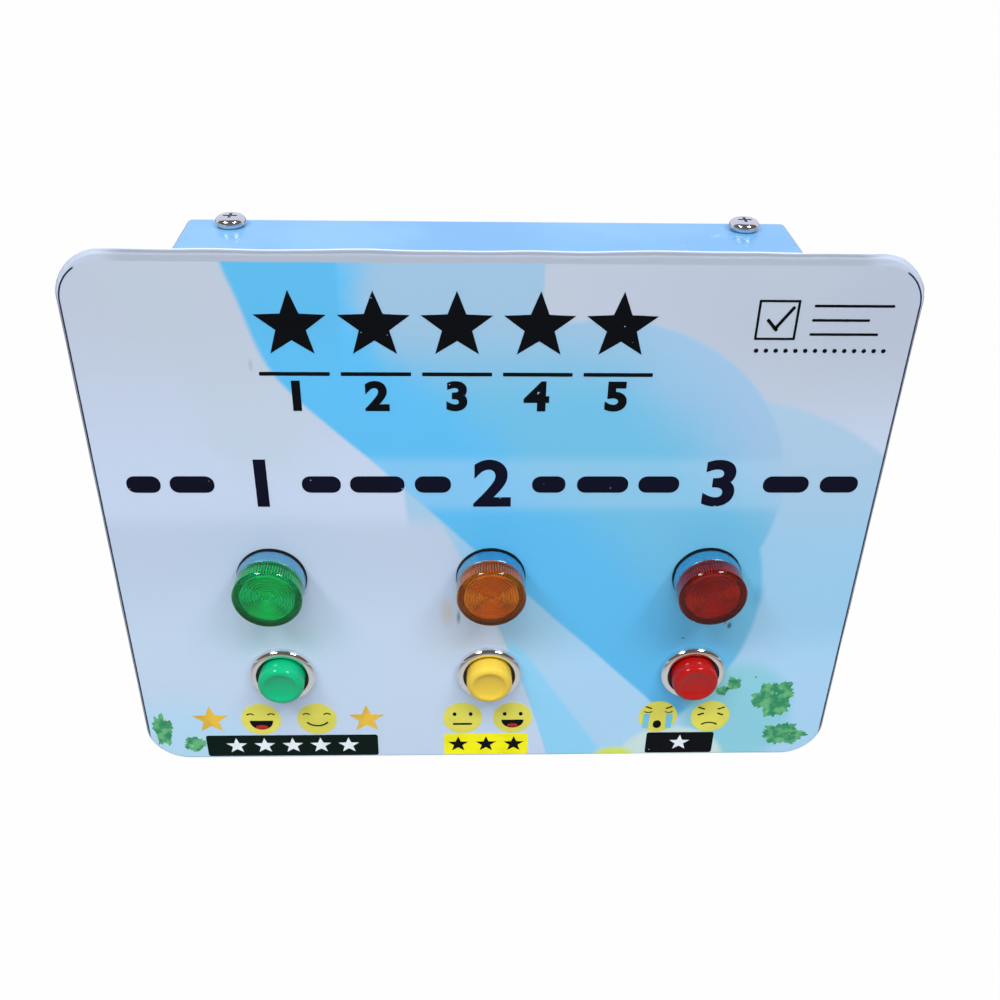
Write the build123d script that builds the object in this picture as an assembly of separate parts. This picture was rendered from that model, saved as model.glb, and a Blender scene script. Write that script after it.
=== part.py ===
from build123d import *
import os

# Wall-held feedback terminal: a flat panel with three pilot lamps and three push buttons
# on the front of a folded steel case, which screws over a plate that is fixed to the wall.
# Frame: origin at the centre of the wall screw holes, on the wall's surface.
# +X to the right and +Z up as seen from the front. The front faces -Y.
# Lamps and buttons are built about the Y axis with local y = 0 on the panel's front surface,
# so negative y stands out of the panel and positive y goes into the case.

# ---- driving dimensions, in millimetres ----

# front panel
PANEL_WIDTH = 305.0
PANEL_HEIGHT = 241.0
PANEL_CORNER = 17.5
PANEL_THICKNESS = 3.0
PANEL_EDGE_ROUND = 1.6
FILM = 0.3
FILM_RETURN = 8.0
PANEL_FRONT_Y = -105.0

# case and wall plate
CASE_WIDTH = 260.0
CASE_HEIGHT = 191.0
CASE_SHEET = 1.2
CASE_BEND = 3.0
CASE_FLANGE = 10.0
CASE_FRONT_Y = -101.0
CASE_REAR_Y = -0.5
PLATE_SHEET = 1.5
PLATE_SIDE_GAP = 0.3
PLATE_TOP_GAP = 0.2
PLATE_NOTCH = 3.0
PLATE_FLANGE_DEPTH = 18.0
WALL_HOLE_X = 115.0
WALL_HOLE_Z = 78.0
WALL_HOLE_RADIUS = 3.0

# screws that hold the case to the wall plate, M6
CASE_SCREW_X = 109.5
CASE_SCREW_Y = -8.0
CASE_SCREW_RADIUS = 2.95
CASE_HOLE_RADIUS = 3.3
CASE_WASHER_RADIUS = 5.6
CASE_WASHER_THICKNESS = 0.8
CASE_HEAD_RADIUS = 6.5
CASE_HEAD_RIM = 0.9
CASE_HEAD_DOME = 2.8
CASE_SCREW_LENGTH = 12.0
WELD_NUT_FLATS = 10.0
WELD_NUT_HEIGHT = 5.0

# countersunk screws and nuts under the film, M4
BOARD_SCREW_SIDE = (124.5, 60.0)
BOARD_SCREW_END = (45.0, 90.5)
BOARD_SCREW_RADIUS = 2.0
BOARD_HOLE_RADIUS = 2.2
BOARD_HEAD_RADIUS = 3.9
BOARD_NUT_FLATS = 7.0
BOARD_NUT_HEIGHT = 3.2

# lamp and button places
COLUMNS = {"green": -89.0, "amber": 0.0, "red": 89.0}
LAMP_Z = -17.5
BUTTON_Z = -69.5
PANEL_HOLE_RADIUS = 11.2
THREAD_RADIUS = 11.0
RING_NUT_FLATS = 26.0
RING_NUT_HEIGHT = 4.5

# pilot lamp
LENS_RADIUS = 13.9
LENS_FRONT = 15.7
LENS_BASE = 7.2
LENS_FLOOR = 1.8
LENS_BORE = 11.0
LENS_SKIRT_RADIUS = 12.2
LENS_EDGE = 0.6
LENS_RIBS = 60
LENS_RIB_DEPTH = 0.35
DIFFUSER_RADIUS = 10.7
DIFFUSER_THICKNESS = 1.0
BEZEL_INNER = 12.4
LAMP_GASKET_RADIUS = 14.2
LAMP_GASKET = 1.3
LAMP_FLANGE_RADIUS = 12.3
LAMP_FLANGE_FRONT = 3.9
LAMP_BORE = 9.5
LAMP_SEAT_Y = 6.0
LAMP_TUBE_END = 30.0
LAMP_REAR_Y = 40.0
LAMP_REAR_WIDTH = 24.0
LAMP_REAR_HEIGHT = 16.0

# push button
RING_RADIUS = 13.9
RING_HEIGHT = 2.6
RING_CREST_INNER = 11.6
RING_BORE = 11.0
RING_POCKET = 13.3
BARREL_TOP = 1.2
BARREL_FLANGE_RADIUS = 12.6
BUTTON_GASKET = 0.6
BARREL_BORE = 10.1
BARREL_FLOOR_Y = 14.0
BARREL_END_Y = 22.0
CAP_RADIUS = 9.8
CAP_FRONT = 9.6
CAP_SHOULDER = 2.4
CAP_DISH = 0.35
CAP_SKIRT_Y = 5.0
CAP_WALL = 1.4
CAP_BOSS_RADIUS = 6.9
STEM_RADIUS = 5.0
STEM_CLEARANCE = 0.05
STEM_NOSE_RADIUS = 4.0
COLLAR_RADIUS = 5.9
COLLAR_THICKNESS = 1.5
STOP_GAP = 0.1
TIP_RADIUS = 2.5
TIP_LENGTH = 2.4
PRESS_TRAVEL = 4.0
SPRING_RADIUS = 5.85
SPRING_WIRE = 0.9
SPRING_TURNS = 4.0

# switch block behind each button
SWITCH_WIDTH = 28.0
SWITCH_HEIGHT = 23.0
SWITCH_REAR_Y = 50.0
SWITCH_WALL = 2.0
SWITCH_CAVITY = (18.0, 13.0)
SWITCH_CAVITY_END = 45.0
SWITCH_MOUTH_RADIUS = 6.8
SLIDER_SIZE = (13.0, 10.0, 9.0)

# circuit board, supply and connections on the wall plate
BOARD_SIZE = (212.0, 56.0)
BOARD_CENTRE_Z = 50.0
BOARD_SHEET = 1.6
STANDOFF_HEIGHT = 8.0
STANDOFF_RADIUS = 3.0
STANDOFF_X = 101.5
STANDOFF_Z = 22.0
PLUG_SIZE = (8.0, 9.0, 10.0)
LAMP_LEAD_X = -4.5
SWITCH_LEAD_X = 4.5
LEAD_RADIUS = 1.75
SUPPLY_SIZE = (52.0, 22.0, 38.0)
SUPPLY_CENTRE = (48.0, -56.0)
SUPPLY_EAR = 7.0
SUPPLY_EAR_THICKNESS = 3.2
STRIP_SIZE = (34.0, 15.0, 16.0)
STRIP_CENTRE = (-47.0, -58.0)
EARTH_STUD_PLACE = (-20.0, -80.0)
M3_RADIUS = 1.5
M3_HOLE_RADIUS = 1.6
M3_HEAD_RADIUS = 2.75
M3_HEAD_HEIGHT = 1.9

# cable gland in the case's bottom wall, M16
GLAND_X = -45.0
GLAND_Y = -50.0
GLAND_THREAD_RADIUS = 8.0
GLAND_HEX = 20.0
GLAND_BORE = 5.6
GLAND_SEAL_BORE = 3.6

# ---- places worked out from the dimensions ----

BOARD_BACK_Y = PANEL_FRONT_Y + PANEL_THICKNESS - FILM
CASE_INNER_X = CASE_WIDTH / 2 - CASE_SHEET
CASE_INNER_Z = CASE_HEIGHT / 2 - CASE_SHEET
PLATE_FRONT_Y = -PLATE_SHEET
CIRCUIT_Y = PLATE_FRONT_Y - STANDOFF_HEIGHT
LEAD_Y = CIRCUIT_Y - BOARD_SHEET - PLUG_SIZE[1] / 2
PLUG_BOTTOM_Z = BOARD_CENTRE_Z - BOARD_SIZE[1] / 2
SIGNS = [(-1, -1), (-1, 1), (1, -1), (1, 1)]
BOARD_SCREWS = [(sx * x, sz * z) for x, z in (BOARD_SCREW_SIDE, BOARD_SCREW_END) for sx, sz in SIGNS]


# ---- helpers ----

def turned(points, rounds=None):
    """Solid turned about the Y axis from (radius, y) points; rounds maps a point to its fillet."""
    section = make_face(Polyline(*points, close=True))
    for index, radius in (rounds or {}).items():
        corner = section.vertices().sort_by_distance(points[index])[0]
        section = fillet(corner, radius)
    return revolve(section, Axis.Y)


def tube_y(outer, inner, y0, y1):
    """Ring about the Y axis from y0 to y1."""
    return turned([(inner, y0), (outer, y0), (outer, y1), (inner, y1)])


def rod_y(radius, y0, y1):
    """Solid cylinder about the Y axis from y0 to y1."""
    return turned([(0, y0), (radius, y0), (radius, y1), (0, y1)])


def block(x0, x1, y0, y1, z0, z1):
    """Box between two corners."""
    return Pos((x0 + x1) / 2, (y0 + y1) / 2, (z0 + z1) / 2) * Box(x1 - x0, y1 - y0, z1 - z0)


def slab(width, height, corner, y0, y1):
    """Rounded rectangle in X and Z, from y0 back to y1."""
    start = Plane(origin=(0, y1, 0), x_dir=(1, 0, 0), z_dir=(0, -1, 0))
    outline = RectangleRounded(width, height, corner) if corner else Rectangle(width, height)
    return extrude(start * outline, y1 - y0)


def hexagon_y(flats, y0, y1, bore):
    """Hexagonal nut about the Y axis, with a flat facing down."""
    start = Plane(origin=(0, y1, 0), x_dir=(1, 0, 0), z_dir=(0, -1, 0))
    body = extrude(start * RegularPolygon(flats / 2, 6, major_radius=False), y1 - y0)
    return body - rod_y(bore, y0 - 1, y1 + 1)


def upright(shape):
    """Turn a shape made about Y so that its negative-y end points up."""
    return Rot(-90, 0, 0) * shape


def at_panel(shape, x, z):
    """Put a lamp or button piece in its hole in the panel."""
    return Pos(x, PANEL_FRONT_Y, z) * shape


def lead(points, radius, bend):
    """Round lead along straight runs joined by tangent arcs."""
    path = FilletPolyline(*points, radius=bend) if len(points) > 2 else Line(*points)
    return sweep(Plane(origin=path @ 0, z_dir=path % 0) * Circle(radius), path=path)


def group(shapes):
    """Separate solids that share one node."""
    return Compound(children=[solid for shape in shapes for solid in shape.solids()])


def panel_places():
    """X and Z of every lamp and button."""
    return [(x, z) for x in COLUMNS.values() for z in (LAMP_Z, BUTTON_Z)]


def mirrored(x, z):
    """The four places at plus and minus x and z."""
    return [(sx * x, sz * z) for sx, sz in SIGNS]


# ---- panel ----

def rounded_panel(inset, y_front, y_back):
    """Panel outline drawn in by inset, with its front edge rounded."""
    body = slab(PANEL_WIDTH - 2 * inset, PANEL_HEIGHT - 2 * inset, PANEL_CORNER - inset, y_front, y_back)
    front_edges = body.faces().sort_by(Axis.Y)[0].edges()
    return fillet(front_edges, PANEL_EDGE_ROUND - inset)


def panel_holes():
    """Cutters for the holes that the lamps and buttons pass through."""
    through = rod_y(PANEL_HOLE_RADIUS, -2, PANEL_THICKNESS + 2)
    return [at_panel(through, x, z) for x, z in panel_places()]


def countersunk(shank, head, head_y, end_y):
    """Countersunk screw shape along Y, with its flat head at head_y."""
    rim_y = head_y + 0.3
    neck_y = rim_y + head - shank
    return turned([(0, head_y), (head, head_y), (head, rim_y), (shank, neck_y), (shank, end_y), (0, end_y)])


def front_board():
    """Rigid board inside the film, with countersunk holes for its screws."""
    board = rounded_panel(FILM, PANEL_FRONT_Y + FILM, BOARD_BACK_Y)
    mouth = BOARD_HEAD_RADIUS + BOARD_HOLE_RADIUS - BOARD_SCREW_RADIUS
    hole = countersunk(BOARD_HOLE_RADIUS, mouth, PANEL_FRONT_Y + FILM, BOARD_BACK_Y + 1)
    return board - panel_holes() - [Pos(x, 0, z) * hole for x, z in BOARD_SCREWS]


def printed_film():
    """Film that covers the board's front, wraps its edges and turns a little way behind."""
    skin = rounded_panel(0, PANEL_FRONT_Y, BOARD_BACK_Y + FILM)
    core = rounded_panel(FILM, PANEL_FRONT_Y + FILM, BOARD_BACK_Y)
    width = PANEL_WIDTH - 2 * FILM_RETURN
    height = PANEL_HEIGHT - 2 * FILM_RETURN
    window = slab(width, height, PANEL_CORNER - FILM_RETURN, BOARD_BACK_Y - 1, BOARD_BACK_Y + 1)
    return skin - core - window - panel_holes()


def board_screws():
    """Screws that hold the board to the case's front flange."""
    end = CASE_FRONT_Y + CASE_SHEET + BOARD_NUT_HEIGHT + 1
    screw = countersunk(BOARD_SCREW_RADIUS, BOARD_HEAD_RADIUS, PANEL_FRONT_Y + FILM + 0.1, end)
    slot = block(-0.5, 0.5, PANEL_FRONT_Y, PANEL_FRONT_Y + FILM + 1.1, -2.6, 2.6)
    cross = slot + Rot(0, 90, 0) * slot
    return group([Pos(x, 0, z) * (screw - cross) for x, z in BOARD_SCREWS])


def board_nuts():
    """Nuts behind the case's front flange."""
    start = CASE_FRONT_Y + CASE_SHEET
    nut = hexagon_y(BOARD_NUT_FLATS, start, start + BOARD_NUT_HEIGHT, BOARD_SCREW_RADIUS + 0.05)
    return group([Pos(x, 0, z) * nut for x, z in BOARD_SCREWS])


def flange_window(y_front, y_back):
    """Cutter for the opening inside the case's front flange."""
    return slab(CASE_WIDTH - 2 * CASE_FLANGE, CASE_HEIGHT - 2 * CASE_FLANGE, 0, y_front, y_back)


def panel_gasket():
    """Foam frame between the board and the case."""
    frame = slab(CASE_WIDTH - 1, CASE_HEIGHT - 1, CASE_BEND, BOARD_BACK_Y, CASE_FRONT_Y)
    window = flange_window(BOARD_BACK_Y - 1, CASE_FRONT_Y + 1)
    hole = rod_y(BOARD_HOLE_RADIUS, BOARD_BACK_Y - 1, CASE_FRONT_Y + 1)
    return frame - window - [Pos(x, 0, z) * hole for x, z in BOARD_SCREWS]


# ---- case and wall plate ----

def screw_axes():
    """Move shapes made along Y onto the case screws, above the top wall and below the bottom wall."""
    places = []
    for x in (-CASE_SCREW_X, CASE_SCREW_X):
        places.append(Pos(x, CASE_SCREW_Y, CASE_HEIGHT / 2) * Rot(-90, 0, 0))
        places.append(Pos(x, CASE_SCREW_Y, -CASE_HEIGHT / 2) * Rot(90, 0, 0))
    return places


def case_shell():
    """Four folded walls with a flange turned in at the front; open at the rear."""
    outer = slab(CASE_WIDTH, CASE_HEIGHT, CASE_BEND, CASE_FRONT_Y, CASE_REAR_Y)
    front_edges = outer.faces().sort_by(Axis.Y)[0].edges()
    outer = fillet(front_edges, CASE_SHEET)
    flange_back = CASE_FRONT_Y + CASE_SHEET
    inner = slab(2 * CASE_INNER_X, 2 * CASE_INNER_Z, CASE_BEND - CASE_SHEET, flange_back, CASE_REAR_Y + 1)
    shell = outer - inner - flange_window(CASE_FRONT_Y - 1, CASE_FRONT_Y + 2)
    hole = rod_y(BOARD_HOLE_RADIUS, CASE_FRONT_Y - 1, CASE_FRONT_Y + 2)
    shell -= [Pos(x, 0, z) * hole for x, z in BOARD_SCREWS]
    shell -= [place * rod_y(CASE_HOLE_RADIUS, -1, CASE_SHEET + 1) for place in screw_axes()]
    gland_hole = Pos(GLAND_X, GLAND_Y, -CASE_HEIGHT / 2) * upright(rod_y(GLAND_THREAD_RADIUS + 0.2, -3, 1))
    return shell - gland_hole


def wall_plate():
    """Plate fixed to the wall, with its top and bottom edges folded forward for the case screws."""
    half_width = CASE_INNER_X - PLATE_SIDE_GAP
    half_height = CASE_INNER_Z - PLATE_TOP_GAP
    body = slab(2 * half_width, 2 * half_height, 0, PLATE_FRONT_Y, 0)
    for low, high in ((half_height - PLATE_SHEET, half_height), (-half_height, PLATE_SHEET - half_height)):
        body += block(-half_width, half_width, -PLATE_FLANGE_DEPTH, 0, low, high)
    rear_folds = body.edges().filter_by(Axis.X).filter_by_position(Axis.Y, -0.01, 0.01)
    body = fillet(rear_folds, PLATE_SHEET)
    notch = Box(2 * PLATE_NOTCH, 3 * PLATE_FLANGE_DEPTH, 2 * PLATE_NOTCH)
    body -= [Pos(x, 0, z) * notch for x, z in mirrored(half_width, half_height)]
    wall_hole = rod_y(WALL_HOLE_RADIUS, -PLATE_SHEET - 1, 1)
    body -= [Pos(x, 0, z) * wall_hole for x, z in mirrored(WALL_HOLE_X, WALL_HOLE_Z)]
    depth = CASE_SHEET + PLATE_TOP_GAP + PLATE_SHEET + 1
    body -= [place * rod_y(CASE_HOLE_RADIUS, CASE_SHEET, depth) for place in screw_axes()]
    small_hole = rod_y(M3_HOLE_RADIUS, -PLATE_SHEET - 1, 1)
    return body - [Pos(x, 0, z) * small_hole for x, z in circuit_screw_places() + supply_screw_places()]


def wall_plate_nuts():
    """Weld nuts under the plate's flanges."""
    start = CASE_SHEET + PLATE_TOP_GAP + PLATE_SHEET
    nut = hexagon_y(WELD_NUT_FLATS, start, start + WELD_NUT_HEIGHT, CASE_SCREW_RADIUS + 0.05)
    return group([place * nut for place in screw_axes()])


def case_screws():
    """Domed cross-recess screws that hold the case to the wall plate."""
    head_y = -CASE_WASHER_THICKNESS
    rim_y = head_y - CASE_HEAD_RIM
    crown_y = rim_y - CASE_HEAD_DOME
    screw = turned([
        (0, CASE_SCREW_LENGTH),
        (CASE_SCREW_RADIUS, CASE_SCREW_LENGTH),
        (CASE_SCREW_RADIUS, head_y),
        (CASE_HEAD_RADIUS - 0.6, head_y),
        (CASE_HEAD_RADIUS, rim_y),
        (CASE_HEAD_RADIUS - 0.2, crown_y),
        (0, crown_y),
    ], {5: CASE_HEAD_DOME - 0.2})
    slot = block(-0.65, 0.65, crown_y - 1, crown_y + 2.3, -2.9, 2.9)
    screw -= slot + Rot(0, 90, 0) * slot
    return group([place * screw for place in screw_axes()])


def case_washers():
    """Plain washers under the case screws' heads."""
    washer = tube_y(CASE_WASHER_RADIUS, CASE_SCREW_RADIUS + 0.25, -CASE_WASHER_THICKNESS, 0)
    return group([place * washer for place in screw_axes()])


# ---- pilot lamps ----

def lamp_lens():
    """Ribbed cup lens with a flat front and a skirt that seats in the bezel."""
    floor_y = LENS_FLOOR - LENS_FRONT
    points = [
        (LENS_BORE, -LAMP_FLANGE_FRONT),
        (LENS_SKIRT_RADIUS, -LAMP_FLANGE_FRONT),
        (LENS_SKIRT_RADIUS, -LENS_BASE),
        (LENS_RADIUS, -LENS_BASE),
        (LENS_RADIUS, -LENS_FRONT),
        (0, -LENS_FRONT),
        (0, floor_y),
        (LENS_BORE, floor_y),
    ]
    lens = turned(points, {4: LENS_EDGE})
    root = LENS_RADIUS - LENS_RIB_DEPTH
    groove = block(root, LENS_RADIUS + 1, 1.2 - LENS_FRONT, -LENS_BASE - 0.6, -0.3, 0.3)
    return lens - [Rot(0, 360 * turn / LENS_RIBS, 0) * groove for turn in range(LENS_RIBS)]


def lamp_bezel():
    """Metal collar between the gasket and the lens."""
    points = [
        (BEZEL_INNER, -LENS_BASE),
        (LENS_RADIUS, -LENS_BASE),
        (LENS_RADIUS, -LAMP_GASKET),
        (BEZEL_INNER, -LAMP_GASKET),
    ]
    return turned(points, {1: 0.4})


def lamp_body():
    """Threaded lamp holder that passes through the panel, with its terminal housing at the rear."""
    holder = turned([
        (LAMP_BORE, -LAMP_FLANGE_FRONT),
        (LAMP_FLANGE_RADIUS, -LAMP_FLANGE_FRONT),
        (LAMP_FLANGE_RADIUS, -LAMP_GASKET),
        (THREAD_RADIUS, -LAMP_GASKET),
        (THREAD_RADIUS, LAMP_TUBE_END),
        (0, LAMP_TUBE_END),
        (0, LAMP_TUBE_END - 2),
        (LAMP_BORE - 1, LAMP_TUBE_END - 2),
        (LAMP_BORE - 1, LAMP_SEAT_Y),
        (LAMP_BORE, LAMP_SEAT_Y),
    ])
    housing = slab(LAMP_REAR_WIDTH, LAMP_REAR_HEIGHT, 2, LAMP_TUBE_END, LAMP_REAR_Y)
    return holder + housing - terminal_holes(LAMP_REAR_Y)


def lamp_diffusers():
    """White disc behind each lens's front, which spreads the light."""
    back = LENS_FLOOR - LENS_FRONT
    disc = rod_y(DIFFUSER_RADIUS, back, back + DIFFUSER_THICKNESS)
    return group([at_panel(disc, x, LAMP_Z) for x in COLUMNS.values()])


def led_board():
    """Round circuit board with a ring of light-emitting diodes and one in the middle."""
    board = rod_y(LAMP_BORE - 0.2, LAMP_SEAT_Y - 1.6, LAMP_SEAT_Y)
    diode = turned([(0, 1.2), (1.5, 1.8), (1.5, LAMP_SEAT_Y - 1.6), (0, LAMP_SEAT_Y - 1.6)])
    ring = [Rot(0, 60 * turn, 0) * Pos(5.6, 0, 0) * diode for turn in range(6)]
    return board + [diode] + ring


# ---- push buttons ----

def button_ring():
    """Bright ring around the cap, with a raised crest and a cone down to the bore."""
    points = [
        (RING_POCKET, 0),
        (RING_RADIUS, 0),
        (RING_RADIUS, -RING_HEIGHT),
        (RING_CREST_INNER, -RING_HEIGHT),
        (RING_BORE, -BARREL_TOP),
        (RING_POCKET, -BARREL_TOP),
    ]
    return turned(points, {2: 1.2, 3: 0.5})


def button_barrel():
    """Threaded barrel with a front flange and a bored floor that guides the plunger."""
    guide = STEM_RADIUS + STEM_CLEARANCE
    return turned([
        (BARREL_BORE, -BARREL_TOP),
        (BARREL_FLANGE_RADIUS, -BARREL_TOP),
        (BARREL_FLANGE_RADIUS, -BUTTON_GASKET),
        (THREAD_RADIUS, -BUTTON_GASKET),
        (THREAD_RADIUS, BARREL_END_Y),
        (guide, BARREL_END_Y),
        (guide, BARREL_FLOOR_Y),
        (BARREL_BORE, BARREL_FLOOR_Y),
    ])


def button_cap():
    """Hollow cap with a rounded shoulder, a shallow dished front and a boss for the plunger."""
    roof_y = 1.8 - CAP_FRONT
    nose_bore = STEM_NOSE_RADIUS + STEM_CLEARANCE
    cap = turned([
        (nose_bore, CAP_SKIRT_Y),
        (CAP_BOSS_RADIUS, CAP_SKIRT_Y),
        (CAP_BOSS_RADIUS, roof_y),
        (CAP_RADIUS - CAP_WALL, roof_y),
        (CAP_RADIUS - CAP_WALL, CAP_SKIRT_Y),
        (CAP_RADIUS, CAP_SKIRT_Y),
        (CAP_RADIUS, -CAP_FRONT),
        (0, -CAP_FRONT),
        (0, -3),
        (nose_bore, -3),
    ], {6: CAP_SHOULDER})
    dish_edge = CAP_RADIUS - CAP_SHOULDER
    dish_radius = (dish_edge ** 2 + CAP_DISH ** 2) / (2 * CAP_DISH)
    return cap - Pos(0, -CAP_FRONT + CAP_DISH - dish_radius, 0) * Sphere(dish_radius)


def button_plunger():
    """Plunger from the cap through the barrel, with a collar that stops the way out."""
    collar_y = BARREL_END_Y + STOP_GAP
    collar_end = collar_y + COLLAR_THICKNESS
    return turned([
        (0, -3),
        (STEM_NOSE_RADIUS, -3),
        (STEM_NOSE_RADIUS, CAP_SKIRT_Y),
        (STEM_RADIUS, CAP_SKIRT_Y),
        (STEM_RADIUS, collar_y),
        (COLLAR_RADIUS, collar_y),
        (COLLAR_RADIUS, collar_end),
        (TIP_RADIUS, collar_end),
        (TIP_RADIUS, collar_end + TIP_LENGTH),
        (0, collar_end + TIP_LENGTH),
    ])


def button_spring():
    """Return spring between the barrel's floor and the cap's boss."""
    length = BARREL_FLOOR_Y - CAP_SKIRT_Y - SPRING_WIRE - 0.1
    pitch = length / SPRING_TURNS
    path = Helix(pitch=pitch, height=length, radius=SPRING_RADIUS)
    section = Plane(origin=path @ 0, z_dir=path % 0) * Circle(SPRING_WIRE / 2)
    wire = sweep(section, path=path, is_frenet=True)
    return Pos(0, BARREL_FLOOR_Y - SPRING_WIRE / 2 - 0.05, 0) * Rot(90, 0, 0) * wire


def switch_block():
    """Switch housing behind the barrel, hollow for the contact slider."""
    body = slab(SWITCH_WIDTH, SWITCH_HEIGHT, 2, BARREL_END_Y, SWITCH_REAR_Y)
    cavity_front = BARREL_END_Y + SWITCH_WALL
    body -= slab(*SWITCH_CAVITY, 0, cavity_front, SWITCH_CAVITY_END)
    body -= rod_y(SWITCH_MOUTH_RADIUS, BARREL_END_Y - 1, cavity_front + 1)
    return body - terminal_holes(SWITCH_REAR_Y)


def contact_slider():
    """Slider that carries the bridge contact and moves with the plunger."""
    start = BARREL_END_Y + STOP_GAP + COLLAR_THICKNESS + TIP_LENGTH
    width, length, height = SLIDER_SIZE
    body = slab(width, height, 0, start, start + length)
    bridge = slab(width + 3, 3, 0, start + length - 3, start + length - 2)
    return body + bridge


# ---- small fasteners ----

def terminal_places():
    """Local X of the two terminal screws on each lamp and switch."""
    return (-9.5, 9.5)


def terminal_holes(rear_y):
    """Blind holes for the terminal screws in a rear face."""
    hole = rod_y(M3_HOLE_RADIUS, rear_y - 5, rear_y + 1)
    return [Pos(x, 0, 0) * hole for x in terminal_places()]


def small_screw(head_y, side):
    """M3 pan-head screw along Y: its head stands on head_y towards side."""
    head = rod_y(M3_HEAD_RADIUS, *sorted((head_y, head_y + side * M3_HEAD_HEIGHT)))
    shank = rod_y(M3_RADIUS, *sorted((head_y, head_y - side * 4.5)))
    slot = block(-0.35, 0.35, *sorted((head_y + side * 1.0, head_y + side * 3)), -2, 2)
    return head + shank - slot - Rot(0, 90, 0) * slot


def terminal_screws():
    """Terminal screws of the lamps and the switches."""
    screws = []
    for z, rear_y in ((LAMP_Z, LAMP_REAR_Y), (BUTTON_Z, SWITCH_REAR_Y)):
        screw = small_screw(rear_y, 1)
        screws += [at_panel(screw, x + side, z) for x in COLUMNS.values() for side in terminal_places()]
    return group(screws)


def ring_nuts():
    """Hexagonal nuts that clamp each lamp and button behind the panel."""
    start = PANEL_THICKNESS - FILM
    nut = hexagon_y(RING_NUT_FLATS, start, start + RING_NUT_HEIGHT, THREAD_RADIUS + 0.05)
    return group([at_panel(nut, x, z) for x, z in panel_places()])


def row_gaskets(outer, thickness, z):
    """One ring gasket behind each flange of a row."""
    ring = tube_y(outer, THREAD_RADIUS + 0.2, -thickness, 0)
    return group([at_panel(ring, x, z) for x in COLUMNS.values()])


# ---- electronics on the wall plate ----

def circuit_screw_places():
    """Corners where the circuit board stands on its standoffs."""
    return [(x, BOARD_CENTRE_Z + z) for x, z in mirrored(STANDOFF_X, STANDOFF_Z)]


def supply_screw_places():
    """Holes in the power supply's two ears."""
    x, z = SUPPLY_CENTRE
    return [(x - SUPPLY_SIZE[0] / 2 + 4, z - SUPPLY_SIZE[2] / 2 - SUPPLY_EAR / 2),
            (x + SUPPLY_SIZE[0] / 2 - 4, z - SUPPLY_SIZE[2] / 2 - SUPPLY_EAR / 2)]


def plug_places():
    """X of every lead socket along the circuit board's lower edge."""
    lamp_plugs = [x + LAMP_LEAD_X for x in COLUMNS.values()]
    switch_plugs = [x + SWITCH_LEAD_X for x in COLUMNS.values()]
    return lamp_plugs + switch_plugs + [SUPPLY_CENTRE[0]]


def circuit_board():
    """Controller board with its sockets, relays, processor and capacitors soldered on."""
    front = CIRCUIT_Y - BOARD_SHEET
    low = BOARD_CENTRE_Z - BOARD_SIZE[1] / 2
    board = Pos(0, 0, BOARD_CENTRE_Z) * slab(*BOARD_SIZE, 2, front, CIRCUIT_Y)
    hole = rod_y(M3_HOLE_RADIUS, front - 1, CIRCUIT_Y + 1)
    board -= [Pos(x, 0, z) * hole for x, z in circuit_screw_places()]
    width, depth, height = PLUG_SIZE
    for x in plug_places():
        board += block(x - width / 2, x + width / 2, front - depth, front, low, low + height)
    for x in (-62, -44, -26):
        board += block(x - 7.5, x + 7.5, front - 12, front, 50, 70)
    board += block(10, 26, front - 1.6, front, 48, 64)
    for x in (46, 60):
        board += Pos(x, 0, 58) * rod_y(5, front - 11, front)
    return board


def board_standoffs():
    """Spacers between the wall plate and the circuit board."""
    spacer = tube_y(STANDOFF_RADIUS, M3_HOLE_RADIUS, CIRCUIT_Y, PLATE_FRONT_Y)
    return group([Pos(x, 0, z) * spacer for x, z in circuit_screw_places()])


def circuit_screws():
    """Screws through the circuit board and through the power supply's ears."""
    on_board = small_screw(CIRCUIT_Y - BOARD_SHEET, -1)
    on_ear = small_screw(PLATE_FRONT_Y - SUPPLY_EAR_THICKNESS, -1)
    screws = [Pos(x, 0, z) * on_board for x, z in circuit_screw_places()]
    screws += [Pos(x, 0, z) * on_ear for x, z in supply_screw_places()]
    return group(screws)


def power_supply():
    """Closed power supply with two fixing ears."""
    x, z = SUPPLY_CENTRE
    width, depth, height = SUPPLY_SIZE
    low = z - height / 2
    body = block(x - width / 2, x + width / 2, PLATE_FRONT_Y - depth, PLATE_FRONT_Y, low, z + height / 2)
    body = fillet(body.edges().filter_by(Axis.Z), 1.5)
    ear_front = PLATE_FRONT_Y - SUPPLY_EAR_THICKNESS
    ears = block(x - width / 2, x + width / 2, ear_front, PLATE_FRONT_Y, low - SUPPLY_EAR, low)
    hole = rod_y(M3_HOLE_RADIUS, ear_front - 1, 0)
    return body + ears - [Pos(hx, 0, hz) * hole for hx, hz in supply_screw_places()]


def terminal_strip():
    """Three-way strip where the supply cord ends."""
    x, z = STRIP_CENTRE
    width, depth, height = STRIP_SIZE
    front = PLATE_FRONT_Y - depth
    strip = block(x - width / 2, x + width / 2, front, PLATE_FRONT_Y, z - height / 2, z + height / 2)
    for way_x in (x - width / 3, x, x + width / 3):
        for row in (-4, 4):
            strip -= Pos(way_x, 0, z + row) * rod_y(2, front - 1, front + 6)
        strip -= block(way_x - 2, way_x + 2, front + 7, front + 11, z - 9, z - 2)
    return strip


def earth_stud():
    """Welded earth stud with its nut and washer run together on it."""
    stud = rod_y(2.5, PLATE_FRONT_Y - 14, PLATE_FRONT_Y)
    washer = rod_y(5, PLATE_FRONT_Y - 3, PLATE_FRONT_Y - 2)
    nut = hexagon_y(8, PLATE_FRONT_Y - 7, PLATE_FRONT_Y - 3, 2.4)
    x, z = EARTH_STUD_PLACE
    return Pos(x, 0, z) * (stud + washer + nut)


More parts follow.
